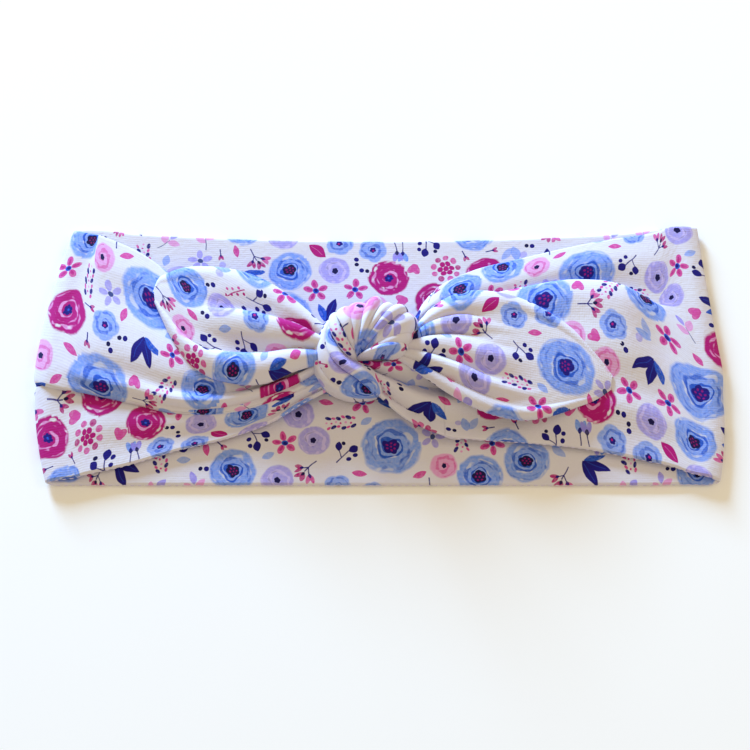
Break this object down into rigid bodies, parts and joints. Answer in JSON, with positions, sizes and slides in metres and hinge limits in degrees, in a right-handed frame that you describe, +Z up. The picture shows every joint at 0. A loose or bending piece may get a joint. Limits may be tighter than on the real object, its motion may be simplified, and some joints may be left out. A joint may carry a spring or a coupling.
{
  "type": "knotted headband",
  "caption": "Wide floral jersey headband lying flat: a double-layer loop gathered at the front under a tied knot with two ears.",
  "frame": {"origin": "on the underside, midway between the side folds and midway between the long edges", "axes": "+X along the band, +Y across it, +Z up through the knot"},
  "size_m": [0.258, 0.104, 0.0232],
  "materials": {
    "printed_jersey": "soft double-brushed knit with an all-over floral print",
    "jersey_inside": "wrong side of the printed knit, pale and matte",
    "jersey_raw_edge": "raw cut edges of the knit",
    "sewing_thread": "fine polyester thread"
  },
  "bodies": {
    "back_centre": {"back_centre_outer_ply": "printed_jersey", "back_centre_inner_ply": "jersey_inside", "back_centre_seam_allowance": "jersey_raw_edge", "back_centre_seam_stitches": "sewing_thread"},
    "back_left": {"back_left_outer_ply": "printed_jersey", "back_left_inner_ply": "jersey_inside", "back_left_seam_allowance": "jersey_raw_edge", "back_left_seam_stitches": "sewing_thread"},
    "back_right": {"back_right_outer_ply": "printed_jersey", "back_right_inner_ply": "jersey_inside", "back_right_seam_allowance": "jersey_raw_edge", "back_right_seam_stitches": "sewing_thread"},
    "front_left": {"front_left_outer_ply": "printed_jersey", "front_left_inner_ply": "jersey_inside", "front_left_seam_stitches": "sewing_thread"},
    "front_right": {"front_right_outer_ply": "printed_jersey", "front_right_inner_ply": "jersey_inside", "front_right_seam_stitches": "sewing_thread"},
    "knot": {"gathered_left": "printed_jersey", "gathered_right": "printed_jersey", "join_seam_allowance": "jersey_raw_edge", "join_seam_stitches": "sewing_thread", "knot_left_wrap": "printed_jersey", "knot_right_wrap": "printed_jersey"},
    "left_ear": {"left_ear_front_ply": "printed_jersey", "left_ear_back_ply": "printed_jersey", "left_ear_seam_stitches": "sewing_thread"},
    "right_ear": {"right_ear_front_ply": "printed_jersey", "right_ear_back_ply": "printed_jersey", "right_ear_seam_stitches": "sewing_thread"}
  },
  "joints": [
    {"name": "loop_open", "type": "hinge", "parent": "back_centre", "child": "back_left", "pos_m": [-0.02432, 0, 0.0016], "axis": [0, 1, 0], "range_deg": [0, 35]},
    {"name": "back_right_lift", "type": "hinge", "parent": "back_centre", "child": "back_right", "pos_m": [0.02432, 0, 0.0016], "axis": [0, -1, 0], "range_deg": [0, 35]},
    {"name": "left_fold", "type": "hinge", "parent": "back_left", "child": "front_left", "pos_m": [-0.1271, 0, 0.0019], "axis": [0, -1, 0], "range_deg": [0, 70]},
    {"name": "right_fold", "type": "hinge", "parent": "back_right", "child": "front_right", "pos_m": [0.1271, 0, 0.0019], "axis": [0, 1, 0], "range_deg": [0, 70]},
    {"name": "knot_rise", "type": "hinge", "parent": "front_left", "child": "knot", "pos_m": [-0.02432, 0, 0.0022], "axis": [0, 1, 0], "range_deg": [0, 35]},
    {"name": "left_ear_lift", "type": "hinge", "parent": "knot", "child": "left_ear", "pos_m": [-0.02322, 0.00067, 0.0192], "axis": [0.309, 0.9511, 0], "range_deg": [0, 90]},
    {"name": "right_ear_lift", "type": "hinge", "parent": "knot", "child": "right_ear", "pos_m": [0.01722, -0.00867, 0.0192], "axis": [-0.1392, -0.9903, 0], "range_deg": [0, 90]}
  ],
  "couplings": [
    {"joint": "back_right_lift", "follows": "loop_open", "ratio": 1},
    {"joint": "left_fold", "follows": "loop_open", "ratio": 2},
    {"joint": "right_fold", "follows": "loop_open", "ratio": 2},
    {"joint": "knot_rise", "follows": "loop_open", "ratio": 1}
  ]
}
